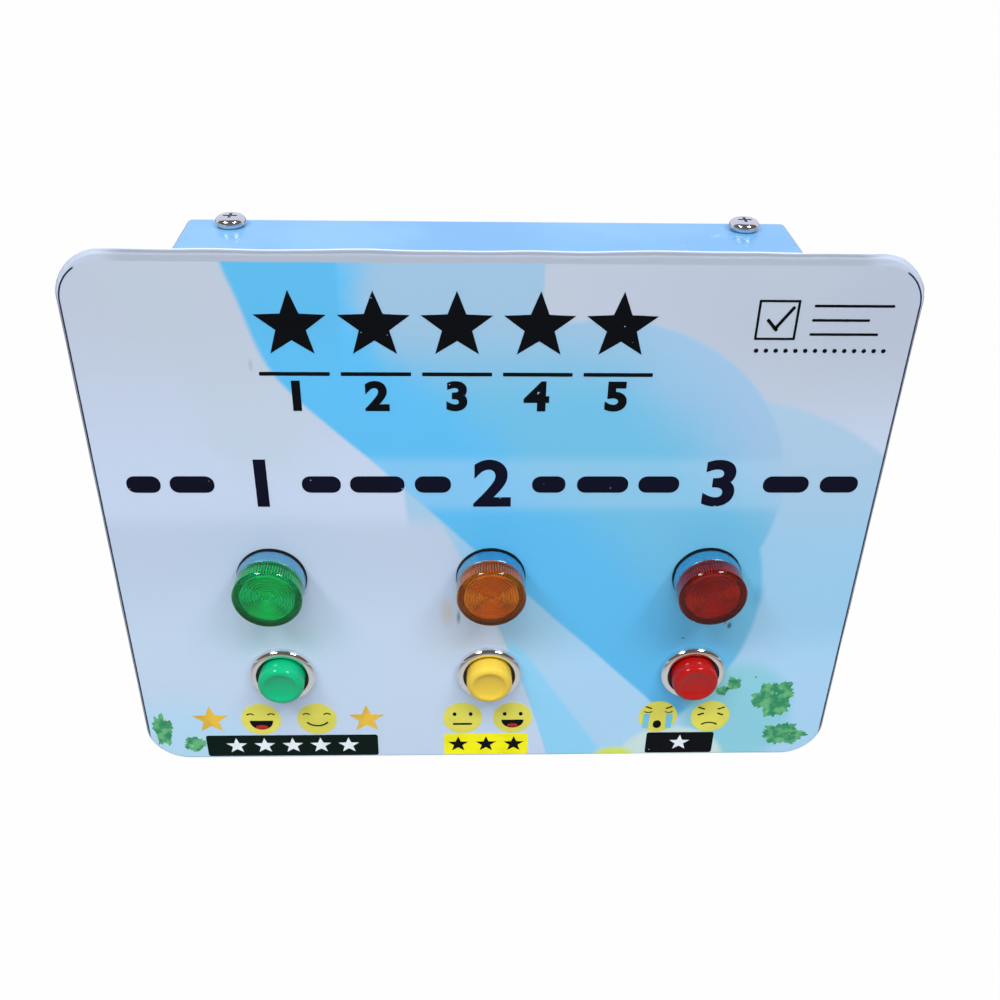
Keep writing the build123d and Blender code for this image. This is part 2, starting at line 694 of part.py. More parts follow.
def wiring_loom():
    """Leads from each lamp and switch up to the circuit board, and the two supply leads."""
    leads = []
    for x in COLUMNS.values():
        for lead_x, z, rear_y in (
            (x + LAMP_LEAD_X, LAMP_Z, LAMP_REAR_Y),
            (x + SWITCH_LEAD_X, BUTTON_Z, SWITCH_REAR_Y),
        ):
            start = PANEL_FRONT_Y + rear_y
            route = [(lead_x, start, z), (lead_x, LEAD_Y, z), (lead_x, LEAD_Y, PLUG_BOTTOM_Z)]
            leads.append(lead(route, LEAD_RADIUS, 14))
    supply_x, supply_z = SUPPLY_CENTRE
    supply_top = supply_z + SUPPLY_SIZE[2] / 2
    leads.append(lead([(supply_x, LEAD_Y, supply_top), (supply_x, LEAD_Y, PLUG_BOTTOM_Z)], 2, 0))
    strip_end = STRIP_CENTRE[0] + STRIP_SIZE[0] / 2
    supply_side = supply_x - SUPPLY_SIZE[0] / 2
    leads.append(lead([(strip_end, PLATE_FRONT_Y - 5, -58), (supply_side, PLATE_FRONT_Y - 5, -58)], 2, 0))
    return group(leads)


# ---- cable gland ----

def gland_place():
    """Gland pieces are made about Y with y = 0 on the bottom wall's outer face and -y outward."""
    return Pos(GLAND_X, GLAND_Y, -CASE_HEIGHT / 2) * Rot(90, 0, 0)


def gland_body():
    """Gland body with a hexagon outside the wall and a thread through it."""
    flange = hexagon_y(GLAND_HEX, -5, 0, GLAND_BORE)
    thread = tube_y(GLAND_THREAD_RADIUS, GLAND_BORE, -5, 8)
    nose = tube_y(GLAND_THREAD_RADIUS, GLAND_BORE + 0.6, -14, -5)
    return gland_place() * (flange + thread + nose)


def gland_cap():
    """Domed nut that squeezes the seal."""
    points = [
        (GLAND_THREAD_RADIUS + 0.05, -5.3),
        (GLAND_HEX / 2, -5.3),
        (GLAND_HEX / 2, -14),
        (5.2, -19),
        (4.4, -19),
        (4.4, -16),
        (GLAND_THREAD_RADIUS + 0.05, -14.1),
    ]
    return gland_place() * turned(points, {2: 1.5})


def gland_seal():
    """Rubber sleeve that grips the cord."""
    return gland_place() * tube_y(GLAND_BORE + 0.55, GLAND_SEAL_BORE, -14, -6)


def gland_locknut():
    """Nut inside the bottom wall."""
    return gland_place() * hexagon_y(GLAND_HEX, CASE_SHEET, CASE_SHEET + 4, GLAND_THREAD_RADIUS + 0.05)


# ---- every node ----

def nodes():
    """Name and shape of each sub-part."""
    parts = {
        "front_board": front_board(),
        "printed_film": printed_film(),
        "board_screws": board_screws(),
        "board_nuts": board_nuts(),
        "panel_gasket": panel_gasket(),
        "case_shell": case_shell(),
        "wall_plate": wall_plate(),
        "wall_plate_nuts": wall_plate_nuts(),
        "case_screws": case_screws(),
        "case_washers": case_washers(),
        "lamp_gaskets": row_gaskets(LAMP_GASKET_RADIUS, LAMP_GASKET, LAMP_Z),
        "button_gaskets": row_gaskets(RING_POCKET - 0.2, BUTTON_GASKET, BUTTON_Z),
        "lamp_diffusers": lamp_diffusers(),
        "ring_nuts": ring_nuts(),
        "terminal_screws": terminal_screws(),
        "circuit_board": circuit_board(),
        "board_standoffs": board_standoffs(),
        "circuit_screws": circuit_screws(),
        "power_supply": power_supply(),
        "terminal_strip": terminal_strip(),
        "earth_stud": earth_stud(),
        "wiring_loom": wiring_loom(),
        "gland_body": gland_body(),
        "gland_cap": gland_cap(),
        "gland_seal": gland_seal(),
        "gland_locknut": gland_locknut(),
    }
    lamp_pieces = {
        "lens": lamp_lens(),
        "bezel": lamp_bezel(),
        "body": lamp_body(),
        "led_board": led_board(),
    }
    button_pieces = {
        "ring": button_ring(),
        "barrel": button_barrel(),
        "cap": button_cap(),
        "plunger": button_plunger(),
        "spring": button_spring(),
        "switch_block": switch_block(),
        "contact_slider": contact_slider(),
    }
    for colour, x in COLUMNS.items():
        for name, shape in lamp_pieces.items():
            parts[f"{colour}_lamp_{name}"] = at_panel(shape, x, LAMP_Z)
        for name, shape in button_pieces.items():
            parts[f"{colour}_button_{name}"] = at_panel(shape, x, BUTTON_Z)
    return parts


os.makedirs("parts", exist_ok=True)
for node_name, node_shape in nodes().items():
    export_step(node_shape, f"parts/{node_name}.step")
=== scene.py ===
import bmesh
import bpy
import math
from mathutils import Matrix, Vector, noise


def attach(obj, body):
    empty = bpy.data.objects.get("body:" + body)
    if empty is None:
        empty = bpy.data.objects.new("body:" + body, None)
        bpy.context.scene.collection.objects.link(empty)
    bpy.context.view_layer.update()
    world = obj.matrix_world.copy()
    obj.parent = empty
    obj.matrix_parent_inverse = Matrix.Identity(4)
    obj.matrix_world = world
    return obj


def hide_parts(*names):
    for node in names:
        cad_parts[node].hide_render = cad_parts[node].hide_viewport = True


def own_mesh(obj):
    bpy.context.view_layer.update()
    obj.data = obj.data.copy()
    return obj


# Looks of the wall-held feedback terminal. Meshes are modelled in millimetres in the frame
# of the CAD part (+X right, +Z up, the front faces -Y) and turned to metres in piece().

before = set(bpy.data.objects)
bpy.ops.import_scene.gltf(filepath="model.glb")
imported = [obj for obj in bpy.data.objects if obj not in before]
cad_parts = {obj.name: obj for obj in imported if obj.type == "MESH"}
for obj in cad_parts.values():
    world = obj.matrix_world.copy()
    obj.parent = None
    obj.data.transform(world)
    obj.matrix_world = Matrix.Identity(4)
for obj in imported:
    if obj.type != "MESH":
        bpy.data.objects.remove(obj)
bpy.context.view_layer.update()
MM = 0.001

# ---- places that the pieces share with the CAD part, in millimetres ----

PANEL_Y = -105.0
PANEL_SIZE = (305.0, 241.0)
PANEL_CORNER = 17.5
PANEL_DEPTH = 3.0
PANEL_HOLE = 11.2
EDGE_ROUND = 1.2
FILM = 0.3
FILM_RETURN = 8.0
COLUMNS = {"green": -89.0, "amber": 0.0, "red": 89.0}
LAMP_Z = -17.5
BUTTON_Z = -69.5


# ---- modelling helpers ----

def piece(name, bm, material, body="housing", sharp=35.0):
    """Finish a mesh modelled in millimetres as an object that rides on a body."""
    bmesh.ops.scale(bm, vec=(MM, MM, MM), verts=bm.verts)
    mesh = bpy.data.meshes.new(name)
    bm.to_mesh(mesh)
    bm.free()
    mesh.materials.append(material)
    mesh.shade_smooth()
    mesh.set_sharp_from_angle(angle=math.radians(sharp))
    shown = bpy.data.objects.new(name, mesh)
    bpy.context.scene.collection.objects.link(shown)
    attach(shown, body)
    return shown


def joined(parts):
    """One bmesh from several."""
    whole = bmesh.new()
    for part in parts:
        mesh = bpy.data.meshes.new("part")
        part.to_mesh(mesh)
        part.free()
        whole.from_mesh(mesh)
        bpy.data.meshes.remove(mesh)
    return whole


def moved(bm, x, y, z):
    """Shift a mesh."""
    bmesh.ops.translate(bm, verts=bm.verts, vec=(x, y, z))
    return bm


def turned(points, rounds=None, steps=96, segments=5):
    """Ring or solid turned about the Y axis from (radius, y) corners; rounds maps a corner to its fillet.
    A chain that starts and ends on the axis stays open there."""
    bm = bmesh.new()
    corners = [bm.verts.new((radius, y, 0)) for radius, y in points]
    for first, second in zip(corners, corners[1:]):
        bm.edges.new((first, second))
    if points[0][0] > 0:
        bm.edges.new((corners[-1], corners[0]))
    for index, size in (rounds or {}).items():
        bmesh.ops.bevel(bm, geom=[corners[index]], offset=size, segments=segments, profile=0.5,
                        affect="VERTICES", material=-1)
    bmesh.ops.spin(bm, geom=bm.verts[:] + bm.edges[:], cent=(0, 0, 0), axis=(0, 1, 0),
                   angle=2 * math.pi, steps=steps, use_merge=True)
    bmesh.ops.remove_doubles(bm, verts=bm.verts, dist=0.001)
    bmesh.ops.recalc_face_normals(bm, faces=bm.faces)
    return bm


def at_panel(bm, x, z):
    """Put a piece made about the Y axis, with y = 0 on the panel's front, in its place."""
    return moved(bm, x, PANEL_Y, z)


# ---- materials ----

def srgb(red, green, blue):
    """Linear colour from 0-255 values."""
    parts = [value / 255 for value in (red, green, blue)]
    return tuple(p / 12.92 if p <= 0.04045 else ((p + 0.055) / 1.055) ** 2.4 for p in parts) + (1.0,)


class Nodes:
    """A node tree, with short ways to add maths, noise and mixes to it."""

    def __init__(self, tree):
        self.tree = tree
        self.places = tree.nodes.new("ShaderNodeTexCoord").outputs

    def plug(self, socket, value):
        """Link a socket to another one, or set its value."""
        if isinstance(value, bpy.types.NodeSocket):
            self.tree.links.new(value, socket)
        else:
            socket.default_value = value

    def calc(self, operation, *values):
        """One Math node."""
        node = self.tree.nodes.new("ShaderNodeMath")
        node.operation = operation
        for socket, value in zip(node.inputs, values):
            self.plug(socket, value)
        return node.outputs[0]

    def level(self, value, start, end, low=0.0, high=1.0, kind="LINEAR"):
        """Change of a value from low..high to start..end, straight unless another kind is named."""
        node = self.tree.nodes.new("ShaderNodeMapRange")
        node.interpolation_type = kind
        self.plug(node.inputs["Value"], value)
        for name, number in (("From Min", low), ("From Max", high), ("To Min", start), ("To Max", end)):
            node.inputs[name].default_value = number
        return node.outputs["Result"]

    def soft(self, value, low, high, start=0.0, end=1.0):
        """Smooth step of a value from low to high."""
        return self.level(value, start, end, low, high, "SMOOTHSTEP")

    def axes(self, vector):
        """The X, Y and Z of a vector."""
        node = self.tree.nodes.new("ShaderNodeSeparateXYZ")
        self.plug(node.inputs[0], vector)
        return node.outputs

    def stretch(self, x, y, z):
        """Object coordinates scaled along each axis."""
        node = self.tree.nodes.new("ShaderNodeMapping")
        self.plug(node.inputs["Vector"], self.places["Object"])
        node.inputs["Scale"].default_value = (x, y, z)
        return node.outputs["Vector"]

    def cloud(self, scale, detail=3.0, place=None, roughness=0.5):
        """Soft noise from 0 to 1."""
        node = self.tree.nodes.new("ShaderNodeTexNoise")
        self.plug(node.inputs["Vector"], place or self.places["Object"])
        node.inputs["Scale"].default_value = scale
        node.inputs["Detail"].default_value = detail
        node.inputs["Roughness"].default_value = roughness
        return node.outputs["Fac"]

    def cells(self, scale, place=None):
        """Distance to the nearest of many scattered points."""
        node = self.tree.nodes.new("ShaderNodeTexVoronoi")
        self.plug(node.inputs["Vector"], place or self.places["Object"])
        node.inputs["Scale"].default_value = scale
        return node.outputs["Distance"]

    def over(self, under, ink, mask):
        """Colour ink laid over another where the mask is 1."""
        node = self.tree.nodes.new("ShaderNodeMix")
        node.data_type = "RGBA"
        self.plug(node.inputs[0], mask)
        self.plug(node.inputs[6], under)
        self.plug(node.inputs[7], ink)
        return node.outputs[2]

    def ray(self, kind):
        """1 for rays of a kind, 0 for the others."""
        return self.tree.nodes.new("ShaderNodeLightPath").outputs[f"Is {kind} Ray"]

    def seen(self):
        """1 for what is seen, also through the lenses; 0 for the light that falls on things."""
        return self.calc("MAXIMUM", self.ray("Camera"), self.ray("Transmission"))


class Recipe(Nodes):
    """A material whose nodes end in one Principled shader."""

    def __init__(self, name):
        self.material = bpy.data.materials.new(name)
        self.material.use_nodes = True
        super().__init__(self.material.node_tree)
        self.shader = self.tree.nodes["Principled BSDF"]

    def relief(self, height, strength, distance):
        """Fine bumps in the surface."""
        node = self.tree.nodes.new("ShaderNodeBump")
        node.inputs["Strength"].default_value = strength
        node.inputs["Distance"].default_value = distance
        self.plug(node.inputs["Height"], height)
        self.plug(self.shader.inputs["Normal"], node.outputs["Normal"])

    def base(self, value):
        """Colour of the surface."""
        self.plug(self.shader.inputs["Base Color"], value)

    def rough(self, value):
        """Roughness of the surface."""
        self.plug(self.shader.inputs["Roughness"], value)

    def fixed(self, **values):
        """Numbers that are the same all over the surface."""
        for name, number in values.items():
            self.shader.inputs[name.replace("_", " ")].default_value = number
        return self

    def swap_shader(self, share, other):
        """Show another shader where the share is 1."""
        node = self.tree.nodes.new("ShaderNodeMixShader")
        self.plug(node.inputs[0], share)
        self.plug(node.inputs[1], self.shader.outputs[0])
        self.plug(node.inputs[2], other.outputs[0])
        self.plug(self.tree.nodes["Material Output"].inputs["Surface"], node.outputs[0])


def moulded(name, colour, roughness, grain=900.0, height=0.00003, drift=0.06, **fixed):
    """Moulded plastic or rubber: a little colour drift, uneven sheen and a fine grain."""
    recipe = Recipe(name)
    darker = tuple(part * (1 - drift) for part in colour[:3]) + (1.0,)
    recipe.base(recipe.over(darker, colour, recipe.soft(recipe.cloud(35.0), 0.35, 0.65)))
    recipe.rough(recipe.level(recipe.cloud(140.0), roughness * 0.8, roughness * 1.25, 0.3, 0.7))
    recipe.relief(recipe.cloud(grain, 2.0), 0.35, height)
    return recipe.fixed(**fixed).material


def plated(name, colour, roughness, stain=(0.35, 0.33, 0.30, 1.0), marks=0.25):
    """Plated or bare metal: faint stains, hair scratches and uneven polish."""
    recipe = Recipe(name)
    dull = recipe.soft(recipe.cloud(60.0, 6.0, roughness=0.65), 0.55, 0.75)
    recipe.base(recipe.over(colour, stain, recipe.calc("MULTIPLY", dull, marks)))
    hair = recipe.cloud(90.0, 2.0, recipe.stretch(1.0, 22.0, 1.0))
    recipe.rough(recipe.level(recipe.calc("ADD", hair, dull), roughness * 0.7, roughness * 1.6, 0.4, 1.5))
    recipe.relief(hair, 0.2, 0.00002)
    return recipe.fixed(Metallic=1.0).material


def powder_paint():
    """Pale blue powder paint: slight orange peel, a glossy skin and small pale scuffs."""
    recipe = Recipe("powder_paint")
    tone = recipe.over(srgb(106, 163, 214), srgb(122, 176, 222), recipe.soft(recipe.cloud(14.0), 0.3, 0.7))
    rub = recipe.calc("MULTIPLY", recipe.soft(recipe.cloud(55.0, 8.0, roughness=0.7), 0.6, 0.68),
                      recipe.soft(recipe.cloud(9.0, 1.0), 0.5, 0.62))
    tone = recipe.over(tone, srgb(205, 228, 248), recipe.calc("MULTIPLY", rub, 0.55))
    chip = recipe.calc("LESS_THAN", recipe.cells(62.0), 0.035)
    recipe.base(recipe.over(tone, srgb(112, 128, 140), recipe.calc("MULTIPLY", chip, 0.7)))
    recipe.rough(recipe.level(rub, 0.24, 0.5))
    recipe.relief(recipe.cloud(420.0, 2.0), 0.25, 0.00008)
    return recipe.fixed(Specular_IOR_Level=0.3, Coat_Weight=0.12, Coat_Roughness=0.12).material


def ink_surface(recipe):
    """Sheen and grain that all the inks share."""
    recipe.rough(recipe.level(recipe.cloud(90.0), 0.32, 0.46, 0.3, 0.7))
    recipe.relief(recipe.cloud(260.0, 2.0), 0.2, 0.00003)
    return recipe.fixed(Specular_IOR_Level=0.06).material


def printed_ink(name, colour, drift=0.12):
    """Solid ink on the film, with tiny pale pinholes."""
    recipe = Recipe(name)
    pale = recipe.over(colour, srgb(196, 208, 226), recipe.calc("LESS_THAN", recipe.cells(210.0), 0.045))
    darker = tuple(part * (1 - drift) for part in colour[:3]) + (1.0,)
    recipe.base(recipe.over(darker, pale, recipe.soft(recipe.cloud(60.0), 0.3, 0.6)))
    return ink_surface(recipe)


def foliage_ink():
    """Mottled green print."""
    recipe = Recipe("foliage_ink")
    shade = recipe.soft(recipe.cloud(230.0, 5.0), 0.4, 0.62)
    light = recipe.soft(recipe.cloud(330.0, 3.0), 0.66, 0.74)
    tone = recipe.over(srgb(52, 138, 100), srgb(104, 178, 124), shade)
    recipe.base(recipe.over(tone, srgb(176, 222, 168), light))
    return ink_surface(recipe)


def film_print():
    """White film with its printed ground: a broad blue sweep, pale discs and a thin line near the edge."""
    recipe = Recipe("film_print")
    x, y, z = recipe.axes(recipe.stretch(1 / MM, 1 / MM, 1 / MM))
    calc, soft, over = recipe.calc, recipe.soft, recipe.over

    def reach(cx, cz, wide=1.0, tall=1.0):
        """Distance from a point on the panel."""
        across = calc("DIVIDE", calc("SUBTRACT", x, cx), wide)
        up = calc("DIVIDE", calc("SUBTRACT", z, cz), tall)
        return calc("SQRT", calc("ADD", calc("MULTIPLY", across, across), calc("MULTIPLY", up, up)))

    def disc(cx, cz, radius, blur, wide=1.0, tall=1.0):
        """1 inside a soft ellipse, 0 outside."""
        return soft(reach(cx, cz, wide, tall), radius - blur, radius + blur, 1.0, 0.0)

    drift = recipe.cloud(16.0, 4.0)
    wander = recipe.level(drift, -6.0, 6.0, 0.3, 0.7)

    # white ground, greyer at the top
    ground = over(srgb(190, 206, 230), srgb(180, 190, 208), soft(z, 20, 112))
    ground = over(ground, srgb(194, 212, 236), soft(z, 0, -60))
    ground = over(ground, srgb(174, 184, 202), calc("MULTIPLY", soft(x, 20, 130), soft(z, 40, 100)))
    ground = over(ground, srgb(180, 196, 206), calc("MULTIPLY", soft(drift, 0.5, 0.7), 0.3))

    # pale discs, and a stripe that follows the lower left one
    upper_disc = disc(40, 22, 74, 1.2)
    outer_disc = disc(84, -38, 103, 1.5)
    inner_disc = disc(20, -30, 93, 1.5)
    pale = over(srgb(164, 194, 220), srgb(150, 198, 230), soft(z, 50, -20))
    ground = over(ground, pale, calc("MAXIMUM", upper_disc, outer_disc))
    left_disc = disc(-555, -260, 598.7, 1.0)
    low_left = calc("MULTIPLY", left_disc, soft(z, 16, 4))
    ground = over(ground, over(srgb(182, 199, 222), srgb(190, 210, 234), soft(z, 0, -60)), low_left)
    ground = over(ground, srgb(166, 208, 240), calc("MULTIPLY", soft(z, -38, -70), soft(left_disc, 0.5, 0.4)))
    stripe = calc("SUBTRACT", calc("ADD", x, calc("MULTIPLY", z, 0.62)), -22.0)
    stripe = calc("MULTIPLY", soft(stripe, -1.0, 2.5, 1.0, 0.0), soft(left_disc, 0.5, 0.4))
    ground = over(ground, srgb(140, 206, 244), calc("MULTIPLY", stripe, soft(z, -46, -56)))

    # the sweep, from the upper left to the lower right
    upper_edge = calc("MULTIPLY_ADD", z, -0.3, -59.2)
    lower_edge = calc("MULTIPLY_ADD", z, -0.952, -10.8)
    start = calc("SMOOTH_MAX", upper_edge, lower_edge, 12.0)
    depth = calc("MULTIPLY", calc("SUBTRACT", calc("MULTIPLY_ADD", wander, 0.12, x), start), 0.75)
    inside = soft(depth, -1.0, 1.0)
    left = soft(x, 16.2, 17.8, 1.0, 0.0)
    inside = calc("MULTIPLY", inside, calc("MAXIMUM", left, calc("MAXIMUM", upper_disc, inner_disc)))
    far = calc("ADD", depth, wander)
    sweep = over(srgb(90, 182, 234), srgb(108, 184, 222), soft(far, 24, 58))
    sweep = over(sweep, srgb(150, 186, 214), calc("MULTIPLY", soft(far, 26, 40), soft(z, 58, 100)))
    sweep = over(sweep, srgb(152, 188, 220), soft(far, 84, 124))
    top_left = calc("MULTIPLY", soft(x, -56.0, -54.0, 1.0, 0.0), soft(z, 70, 100))
    sweep = over(sweep, srgb(90, 178, 226), top_left)
    ground = over(ground, sweep, inside)

    # lighter strip across the sweep, and soft spots near the lower edge
    glow = calc("MULTIPLY", soft(calc("ABSOLUTE", calc("SUBTRACT", z, 27.0)), 8, 15, 0.3, 0.0), inside)
    ground = over(ground, srgb(178, 210, 236), glow)
    teal = disc(112, -96, 30, 5, 0.8, 1.0)
    ground = over(ground, srgb(132, 202, 218), calc("MULTIPLY", teal, 0.85))
    ground = over(ground, srgb(196, 222, 222), disc(84, -122, 24, 2, 1.0, 0.8))
    ground = over(ground, srgb(206, 226, 96), disc(58, -121, 9, 3, 1.0, 0.6))
    ground = over(ground, srgb(176, 214, 240), disc(-140, -112, 26, 14, 1.3, 1.0))

    # stains, chips and specks, with a painted shadow and a painted highlight of two small folds at the top
    # edge: place, width, height, colour and strength
    for sx, sz, wide, tall, shade, amount in (
        (-18, -36, 4.6, 11.0, srgb(190, 176, 160), 0.5),
        (-13.2, -39, 1.2, 5.2, srgb(86, 76, 78), 0.65),
        (102, -44, 1.4, 2.6, srgb(44, 44, 58), 0.85),
        (100, -42, 1.0, 1.8, srgb(70, 84, 110), 0.7),
        (112, -28, 4.0, 9.0, srgb(84, 160, 210), 0.45),
        (82.9, -50.8, 0.9, 0.8, srgb(40, 40, 46), 0.8),
        (117.7, -73.3, 0.8, 0.8, srgb(40, 40, 46), 0.8),
        (26, 121.6, 4.0, 0.8, srgb(120, 124, 130), 0.7),
        # painted shadow of a small fold in the film at the top edge
        (81, 120.4, 3.0, 0.7, srgb(104, 104, 116), 0.7),
        # painted highlight on a small fold in the film at the top edge
        (-80, 119.6, 8.0, 1.3, srgb(226, 222, 214), 0.7),
        (24.8, 118.2, 1.1, 1.0, srgb(110, 116, 122), 0.7),
        (33.7, 119.2, 0.9, 1.1, srgb(120, 126, 132), 0.6),
        (88, -86, 1.6, 2.4, srgb(200, 110, 130), 0.7),
        (-88, 78, 1.2, 3.6, srgb(120, 160, 160), 0.45),
        (6, -34, 7, 4, srgb(176, 182, 190), 0.4),
        (121, -85, 1.6, 1.6, srgb(214, 176, 190), 0.6),
    ):
        ground = over(ground, shade, calc("MULTIPLY", disc(sx, sz, 0.55, 0.45, wide, tall), amount))

    specks = calc("LESS_THAN", recipe.cells(34.0, recipe.stretch(1.0, 0.0, 1.0)), 0.011)
    ground = over(ground, srgb(70, 78, 92), calc("MULTIPLY", specks, 0.75))

    # the thin line near the edge, and the film that rolls over it, with painted shade on the roll and a
    # painted highlight at the two upper corners
    border_x, border_z, corner = 151.4, 117.0, 15.0
    aside = calc("ABSOLUTE", x)
    over_x = calc("MAXIMUM", calc("SUBTRACT", aside, border_x - corner), 0.0)
    over_z = calc("MAXIMUM", calc("SUBTRACT", z, border_z - corner), 0.0)
    edge = calc("SUBTRACT", calc("SQRT", calc("ADD", calc("MULTIPLY", over_x, over_x),
                                              calc("MULTIPLY", over_z, over_z))), corner)
    # the two upper corners, where the margin and the roll are lightened as a painted highlight
    ends = calc("MULTIPLY", soft(aside, 126, 138), soft(z, 96, 106))
    # the roll darkened as painted shade against the light that its rounded edge catches
    roll = over(srgb(126, 133, 148), srgb(146, 153, 167), soft(y, -104.3, -103.9))
    margin = over(srgb(166, 175, 191), srgb(182, 193, 213), ends)
    roll = over(roll, srgb(166, 177, 196), ends)
    ground = over(ground, over(margin, roll, soft(y, -105.0, -104.7)), soft(edge, -0.2, 0.2))
    line = calc("MULTIPLY", soft(calc("ABSOLUTE", edge), 0.22, 0.4, 1.0, 0.0), soft(aside, 144.0, 145.0))
    line = calc("MULTIPLY", line, soft(z, -112, -100))
    ground = over(ground, srgb(28, 38, 66), calc("MULTIPLY", line, soft(y, -103.6, -104.0)))
    recipe.base(over(ground, srgb(206, 216, 232), soft(y, -103.4, -102.8)))

    recipe.fixed(Specular_IOR_Level=0.18)
    recipe.rough(recipe.level(recipe.cloud(45.0, 4.0), 0.32, 0.48, 0.3, 0.7))
    skin = calc("ADD", calc("MULTIPLY", recipe.cloud(30.0, 2.0), 3.0), recipe.cloud(300.0, 2.0))
    recipe.relief(skin, 0.25, 0.00008)
    return recipe.material


def lens_plastic(name, colour, shade, tint):
    """Clear coloured lens; lamps shine through it, so its shadow is only a tint."""
    recipe = Recipe(name)
    recipe.base(recipe.over(colour, shade, recipe.soft(recipe.cloud(80.0), 0.35, 0.75)))
    recipe.rough(recipe.level(recipe.cloud(200.0), 0.04, 0.12, 0.3, 0.7))
    recipe.relief(recipe.cloud(420.0, 2.0), 0.1, 0.00003)
    recipe.fixed(Transmission_Weight=0.95, IOR=1.4, Specular_Tint=(0.2, 0.2, 0.2, 1), Coat_Weight=0.35,
                 Coat_Roughness=0.04)
    clear = recipe.tree.nodes.new("ShaderNodeBsdfTransparent")
    clear.inputs["Color"].default_value = tint
    recipe.swap_shader(recipe.ray("Shadow"), clear)
    return recipe.material


chrome = plated("chrome_plate", (0.86, 0.86, 0.87, 1.0), 0.1, marks=0.12)
bright_steel = plated("bright_steel", (0.78, 0.79, 0.82, 1.0), 0.16)
zinc_steel = plated("zinc_steel", (0.62, 0.63, 0.66, 1.0), 0.34, marks=0.4)
dark_steel = plated("dark_steel", (0.30, 0.30, 0.32, 1.0), 0.4, marks=0.4)
spring_steel = plated("spring_steel", (0.55, 0.55, 0.57, 1.0), 0.28)
brass = plated("brass", (0.72, 0.52, 0.22, 1.0), 0.26)
supply_case = plated("supply_case", (0.66, 0.67, 0.68, 1.0), 0.38, marks=0.35)
# the collars' light blue stands in for the blue panel that their bare metal mirrors: a painted reflection
painted_reflection_collar = plated("collar_with_painted_reflection", srgb(130, 190, 218), 0.36, srgb(98, 156, 196), marks=0.3)
paint = powder_paint()
board_core = moulded("board_core", srgb(206, 204, 196), 0.6, 500.0)
foam = moulded("foam", srgb(46, 46, 48), 0.9, 700.0, 0.0002)
rubber = moulded("black_rubber", srgb(10, 12, 14), 0.6, 500.0, Specular_IOR_Level=0.15)
black_plastic = moulded("black_plastic", srgb(28, 29, 31), 0.42)
nut_plastic = moulded("nut_plastic", srgb(34, 35, 38), 0.5)
white_plastic = moulded("white_plastic", srgb(226, 226, 222), 0.4)
grey_plastic = moulded("grey_plastic", srgb(112, 114, 116), 0.45)
pale_plastic = moulded("pale_plastic", srgb(146, 146, 144), 0.5)
circuit_green = moulded("circuit_green", srgb(30, 104, 62), 0.4, 260.0, 0.0001, 0.3)
wire_sleeve = moulded("wire_sleeve", srgb(152, 46, 46), 0.45)
film_finish = film_print()
LENS = {
    "green": lens_plastic("green_lens", srgb(8, 188, 120), srgb(4, 166, 104), srgb(150, 236, 206)),
    "amber": lens_plastic("amber_lens", srgb(196, 126, 18), srgb(176, 108, 12), srgb(236, 206, 166)),
    "red": lens_plastic("red_lens", srgb(168, 38, 12), srgb(142, 30, 9), srgb(228, 168, 150)),
}
GLOSS = {"Specular_IOR_Level": 0.05, "Coat_Weight": 0.55, "Coat_Roughness": 0.06}
CAP = {
    "green": moulded("green_cap", srgb(8, 172, 118), 0.4, 700.0, 0.00002, 0.04, **GLOSS),
    "amber": moulded("yellow_cap", srgb(220, 188, 64), 0.4, 700.0, 0.00002, 0.04, **GLOSS),
    "red": moulded("red_cap", srgb(166, 18, 14), 0.4, 700.0, 0.00002, 0.04, **GLOSS),
}
BLACK_INK = printed_ink("black_ink", srgb(8, 11, 16))
NAVY_INK = printed_ink("navy_ink", srgb(12, 14, 34))
WHITE_INK = printed_ink("white_ink", srgb(228, 236, 244), 0.04)
FACE_INK = printed_ink("face_ink", srgb(224, 220, 96))
TEAR_INK = printed_ink("tear_ink", srgb(120, 200, 226))
TONGUE_INK = printed_ink("tongue_ink", srgb(176, 44, 40))
PLATE_GREEN = printed_ink("plate_green", srgb(4, 24, 20))
PLATE_YELLOW = printed_ink("plate_yellow", srgb(246, 242, 30))
GOLD_INK = printed_ink("gold_ink", srgb(232, 190, 70), 0.3)
LEAF_INK = foliage_ink()


def dress_nodes():
    """Give every CAD node that stays in sight its own finish."""
    finishes = {
        "front_board": board_core, "board_screws": zinc_steel, "board_nuts": zinc_steel,
        "panel_gasket": foam, "case_shell": paint, "wall_plate": paint, "wall_plate_nuts": zinc_steel,
        "case_screws": bright_steel, "case_washers": dark_steel, "lamp_gaskets": rubber,
        "button_gaskets": rubber, "ring_nuts": nut_plastic, "terminal_screws": brass,
        "circuit_board": circuit_green, "board_standoffs": brass, "circuit_screws": zinc_steel,
        "power_supply": supply_case, "terminal_strip": white_plastic, "earth_stud": brass,
        "wiring_loom": wire_sleeve, "gland_body": black_plastic, "gland_cap": black_plastic,
        "gland_seal": rubber, "gland_locknut": black_plastic,
    }
    for colour in COLUMNS:
        finishes.update({
            f"{colour}_lamp_body": grey_plastic, f"{colour}_lamp_led_board": white_plastic,
            f"{colour}_button_barrel": black_plastic, f"{colour}_button_plunger": white_plastic,
            f"{colour}_button_switch_block": black_plastic,
            f"{colour}_button_contact_slider": white_plastic,
        })
    for name, finish in finishes.items():
        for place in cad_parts[name].material_slots:
            place.material = finish


# ---- film ----

